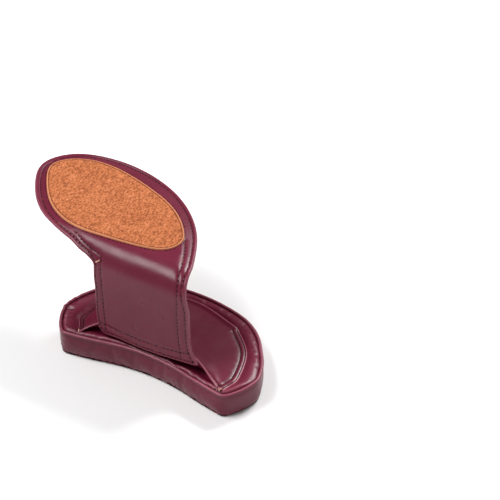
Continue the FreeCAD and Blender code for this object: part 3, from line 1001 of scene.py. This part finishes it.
def underside(side, materials):
    """Suede panel that rests on the shoulder, its edge turned up into the bottom seam."""
    rim = rounded(resample(inset(side, 1.9 * MM), 1.6 * MM), 1)
    flat, faces, border = fill(rim, 4.0 * MM, [r * MM for r in (0.3, 0.8, 1.5, 2.5)])
    gap = gap_to(flat, rim)
    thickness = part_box("pad_bottom_panel")[1].z
    lower = thickness * 0.95 * (1 - edge_curve(gap, 1.3 * MM))
    piece = shell("pad_suede_underside", [tuple(reversed(f)) for f in faces], border[::-1],
                  np.column_stack([flat, lower]), np.column_stack([flat, np.full(len(flat), thickness)]),
                  materials["underside"])
    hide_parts("pad_bottom_panel")
    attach(piece, "pad")


def tube(name, path, radius, material, sides=12, wear_and_painted_light=0.0):
    """Closed tube round a closed path of 3-D points that lies nearly level."""
    along = along_ring(path)
    side = unit(np.cross(along, np.array([0, 0, 1.0])))
    lift = np.cross(side, along)
    count = len(path)
    points = []
    for k in range(sides):
        turn = 2 * math.pi * k / sides
        out = side * (math.cos(turn) * radius)[:, None] + lift * (math.sin(turn) * radius)[:, None]
        points.append(path + out)
    points = np.stack(points, 1).reshape(-1, 3)
    faces = ring_quads(count, sides, wrap=True)
    # lighter on the tube's upper half: painted highlight along its top
    height = np.tile(np.sin(np.arange(sides) * 2 * math.pi / sides), count)
    return mesh_object(name, points, faces, material, wear_and_painted_light * np.clip(height, 0, 1))


def piping_cord(piping, materials):
    """Leather piping sewn round the top edge, a little uneven as its cord is pulled by the seam."""
    ring = rounded(resample(inset(piping, 0.85 * MM), 1.2 * MM), 1)
    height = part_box("top_piping")[1].z - 1.0 * MM
    path = np.column_stack([ring, np.full(len(ring), height)])
    path[:, 2] += 0.12 * MM * ripple(ring, 24 * MM, 29) + gathers(path, 0.6 * MM)
    radius = PIPING_R * (1 + 0.05 * ripple(ring, 9 * MM, 31))
    # the piping's top is painted lighter as highlight
    piece = tube("pad_piping", path, radius, materials["leather"], wear_and_painted_light=0.8)
    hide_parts("top_piping")
    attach(piece, "pad")


# ---------------------------------------------------------------- carrier band
class Carrier:
    """The leather band across the pad: flat at the back, its front lip turned up behind the flap's hem."""

    LIP = 9.0 * MM
    TURN_R = 5.0 * MM

    def __init__(self, loop, sides, pad_surface):
        self.loop = loop
        self.front = sides[1]
        self.ends = [sides[0][:-1], sides[2][:-1]]
        self.rows = [inward(end, depth * MM) for end, depths in zip(self.ends, BAND_ROWS) for depth in depths]
        self.cell = 1.0 * MM
        self.corner = loop.min(0) - 4 * MM
        counts = np.ceil((loop.max(0) + 4 * MM - self.corner) / self.cell).astype(int) + 1
        heights = np.full(counts, PAD_TOP)
        for i in range(counts[0]):
            for k in range(counts[1]):
                x, y = self.corner + np.array([i, k]) * self.cell
                hit = pad_surface.ray_cast(Vector((x, y, 0.2)), Vector((0, 0, -1)))[0]
                heights[i, k] = hit.z if hit is not None else PAD_TOP
        around = [(i, k) for i in (-1, 0, 1) for k in (-1, 0, 1)]
        heights = np.max([np.roll(heights, shift, (0, 1)) for shift in around], 0)
        for _ in range(3):
            heights = np.mean([np.roll(heights, shift, (0, 1)) for shift in around], 0)
        self.heights = heights

    def raised(self, x):
        """How much of the lip is turned up: none at the end seams, all of it behind the flap."""
        left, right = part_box("flap_outer")[0].x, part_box("flap_outer")[1].x
        bass = smooth(x, left - 9 * MM, left + 17 * MM) ** 0.75
        treble = (1 - smooth(x, right - 6 * MM, right + 24 * MM)) ** 0.85
        return bass * treble

    def underneath(self, plan):
        """Height that clears the pad's top round each place, softened as stiff leather lies."""
        spot = (plan - self.corner) / self.cell
        first = np.clip(spot.astype(int), 0, np.array(self.heights.shape) - 2)
        tx, ty = (spot - first).T
        i, k = first.T
        low = self.heights[i, k] * (1 - tx) + self.heights[i + 1, k] * tx
        high = self.heights[i, k + 1] * (1 - tx) + self.heights[i + 1, k + 1] * tx
        return low * (1 - ty) + high * ty

    def base(self, plan):
        """Underside of the band."""
        front_y = np.interp(plan[:, 0], self.front[:, 0], self.front[:, 1])
        back = np.maximum(plan[:, 1] - front_y, 0)
        raised = self.raised(plan[:, 0])
        ends = np.min([gap_to(plan, end, False) for end in self.ends], axis=0)
        rest = self.underneath(plan) + 0.1 * MM - 0.9 * MM * np.exp(-(ends / (2.4 * MM)) ** 2)
        rest += 0.1 * MM * (1 + ripple(plan, 38 * MM, 37)) * smooth(gap_to(plan, self.loop), 2 * MM, 9 * MM)
        arc = self.TURN_R * math.pi / 2
        reach = self.LIP + arc
        travel = back * (reach + 6 * MM) / (12 * MM)
        upright = np.clip(self.LIP - travel, 0, self.LIP)
        turn = np.clip((travel - self.LIP) / self.TURN_R, 0, math.pi / 2)
        level = np.maximum(travel - reach, 0)
        y = front_y + 0.9 * MM + self.TURN_R * (1 - np.cos(turn)) + level
        z = PAD_TOP + 0.3 * MM + self.TURN_R * (1 - np.sin(turn)) + upright
        y += upright * math.sin(LEAN)
        near = 1 - smooth(back, 9 * MM, 12 * MM)
        curved = np.column_stack([plan[:, 0], y, z])
        flat = np.column_stack([plan, rest])
        share = (raised * near)[:, None]
        return flat * (1 - share) + curved * share

    def seams(self, plan):
        """How close each place is to a row of the end seams."""
        near = np.min([gap_to(plan, row, False) for row in self.rows], axis=0)
        return np.exp(-(near / (0.55 * MM)) ** 2)

    def surface(self, plan):
        """Place and normal of the band's top."""
        step = 0.2 * MM
        here = self.base(plan)
        across = self.base(plan + [step, 0]) - here
        onward = self.base(plan + [0, step]) - here
        normal = unit(np.cross(across, onward))
        thick = LEATHER * edge_curve(gap_to(plan, self.loop), 0.9 * MM) - 0.4 * MM * self.seams(plan)
        return here + normal * thick[:, None], normal


def carrier_band(loop, sides, pad_surface, materials):
    band = Carrier(loop, sides, pad_surface)
    rings = [r * MM for r in (0.25, 0.6, 1.0, 1.5, 2.0, 2.5, 3.0, 3.5, 4.0, 4.5)]
    flat, faces, rim = fill(loop, 2.0 * MM, rings)
    gap = gap_to(flat, loop)
    # lighter along the band's edge, partly rub and partly painted highlight; painted shade along the end
    # seams' rows
    wear_and_painted_light = 0.9 * np.exp(-(gap / (0.8 * MM)) ** 2) - 0.9 * band.seams(flat)
    piece = shell("carrier_leather", faces, rim, band.surface(flat)[0], band.base(flat),
                  materials["leather"], wear_and_painted_light)
    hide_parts("carrier_band")
    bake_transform(piece)

    rows = [stitch_row(band.surface, row, BAND_PITCH, False, 0.08 * MM) for row in band.rows]
    edge = inward(sides[1], 1.5 * MM)
    left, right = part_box("flap_outer")[0].x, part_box("flap_outer")[1].x
    rows.append(stitch_row(band.surface, edge[edge[:, 0] < left + 1 * MM], BAND_PITCH, False, 0.08 * MM))
    rows.append(stitch_row(band.surface, edge[edge[:, 0] > right + 8 * MM], BAND_PITCH, False, 0.08 * MM))
    thread = stitch_pieces("band_stitches", rows, 1.7 * MM, 0.75 * MM, 0.5 * MM, materials["thread"])
    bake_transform(thread)
    seam_knots(band, materials)


def seam_knots(band, materials):
    """Pale thread where the end seams start at the pad's front."""
    rows = [stitch_row(band.surface, band.ends[0][-4:] + [1.4 * MM, 0], 0.9 * MM, False, 0.25 * MM),
            stitch_row(band.surface, band.ends[1][:4] + [-1.6 * MM, 0], 0.9 * MM, False, 0.25 * MM)]
    knots = stitch_pieces("seam_knots", rows, 1.2 * MM, 0.9 * MM, 0.7 * MM, materials["bright_thread"])
    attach(knots, "pad")


def front_rows(pad_surface, materials):
    """Stitches on the pad's top, inside its piping, at both front corners."""
    low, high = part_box("top_piping")

    def surface(plan):
        hits = [pad_surface.ray_cast(Vector((x, y, 0.2)), Vector((0, 0, -1))) for x, y in plan]
        return np.array([h[0][:] for h in hits]), np.array([h[1][:] for h in hits])

    left = curve_through(spots(low.x, low.y, (11.0, 6.7), (16, 6.0), (20.6, 6.3)), MM)
    right = curve_through(spots(high.x, low.y, (-20.5, 3.9), (-16.7, 3.4), (-12.6, 3.6)), MM)
    rows = [stitch_row(surface, line, BAND_PITCH, False, 0.1 * MM) for line in (left, right)]
    thread = stitch_pieces("front_stitches", rows, 1.7 * MM, 0.7 * MM, 0.5 * MM, materials["thread"])
    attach(thread, "pad")


# ---------------------------------------------------------------- tabs
def elastic_tab(node, materials):
    """Folded leather tab round an end of the elastic: the CAD block, rounded and pinched."""
    low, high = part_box(node)
    size = high - low
    build = bmesh.new()
    bmesh.ops.create_cube(build, size=1.0)
    bmesh.ops.subdivide_edges(build, edges=build.edges, cuts=3, use_grid_fill=True)
    for v in build.verts:
        pinch = 1 - 0.22 * (v.co.y + 0.5)
        v.co.x *= pinch
        v.co.z *= 1 - 0.18 * abs(v.co.x) - 0.1 * (v.co.y + 0.5)
        v.co = Vector((v.co.x * size.x, v.co.y * size.y, v.co.z * size.z)) + (low + high) / 2
    mesh = bpy.data.meshes.new(node + "_leather")
    build.to_mesh(mesh)
    build.free()
    piece = bpy.data.objects.new(node + "_leather", mesh)
    scene.collection.objects.link(piece)
    rounding = piece.modifiers.new("soft", "SUBSURF")
    rounding.levels = rounding.render_levels = 2
    mesh.materials.append(materials["leather"])
    mesh.polygons.foreach_set("use_smooth", [True] * len(mesh.polygons))
    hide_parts(node)
    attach(piece, "pad")


# ---------------------------------------------------------------- stage
def light(name, place_at, aim, size, watts):
    """A soft box: a rectangle of (width, depth), facing a point."""
    data = bpy.data.lights.new(name, "AREA")
    data.shape = "RECTANGLE"
    data.size, data.size_y = size
    data.energy = watts
    lamp = bpy.data.objects.new(name, data)
    lamp.location = place_at
    lamp.rotation_mode = "QUATERNION"
    lamp.rotation_quaternion = (Vector(aim) - Vector(place_at)).to_track_quat("-Z", "Y")
    scene.collection.objects.link(lamp)


def stage():
    """Pale floor and soft studio light."""
    half = 3.0
    points = [(-half, -half, 0), (half, -half, 0), (half, half, 0), (-half, half, 0)]
    mesh = bpy.data.meshes.new("floor")
    mesh.from_pydata([(x, y, -0.05 * MM) for x, y, _ in points], [], [(0, 1, 2, 3)])
    mesh.materials.append(floor_material())
    floor = bpy.data.objects.new("floor", mesh)
    scene.collection.objects.link(floor)

    world = bpy.data.worlds.new("studio")
    world.use_nodes = True
    world.node_tree.nodes["Background"].inputs["Color"].default_value = (1, 1, 1, 1)
    world.node_tree.nodes["Background"].inputs["Strength"].default_value = 0.29
    scene.world = world
    scene.view_settings.view_transform = "Standard"
    aim = (0, 0, 0.05)
    light("overhead", (-0.49, -0.36, 1.08), aim, (0.65, 0.5), 12)
    light("behind", (0.17, 0.85, 0.97), aim, (0.5, 0.35), 14)
    light("front", (-0.5, -1.15, 0.4), aim, (1.4, 0.9), 0.8)


# ---------------------------------------------------------------- build
def build():
    materials = {
        "leather": leather_material("leather", (0.116, 0.0070, 0.024), (0.148, 0.0105, 0.033)),
        "lining": leather_material("lining", (0.085, 0.016, 0.020), (0.11, 0.024, 0.028), 0.6),
        "suede": suede_material("suede", (0.41, 0.118, 0.042), (0.50, 0.158, 0.062), (0.60, 0.24, 0.12)),
        # the underside's suede is the patch's suede at about half its brightness: painted shade on the pad's
        # shadowed bottom
        "underside": suede_material("underside_suede", (0.20, 0.05, 0.025), (0.27, 0.072, 0.036),
                                    (0.34, 0.11, 0.06)),
        "thread": thread_material(),
        "bright_thread": bright_thread_material(),
        "foam": foam_material(),
    }
    camera()
    elastic()
    top, band_loop, band_sides = pad(materials)
    carrier_band(band_loop, band_sides, top, materials)
    front_rows(top, materials)
    leather = Leather()
    flap_and_cover(leather, materials)
    cover_foam(leather, materials)
    patch(leather, materials)
    pocket(materials)
    for node in ("elastic_tab_right", "elastic_tab_left"):
        elastic_tab(node, materials)
    stage()


build()
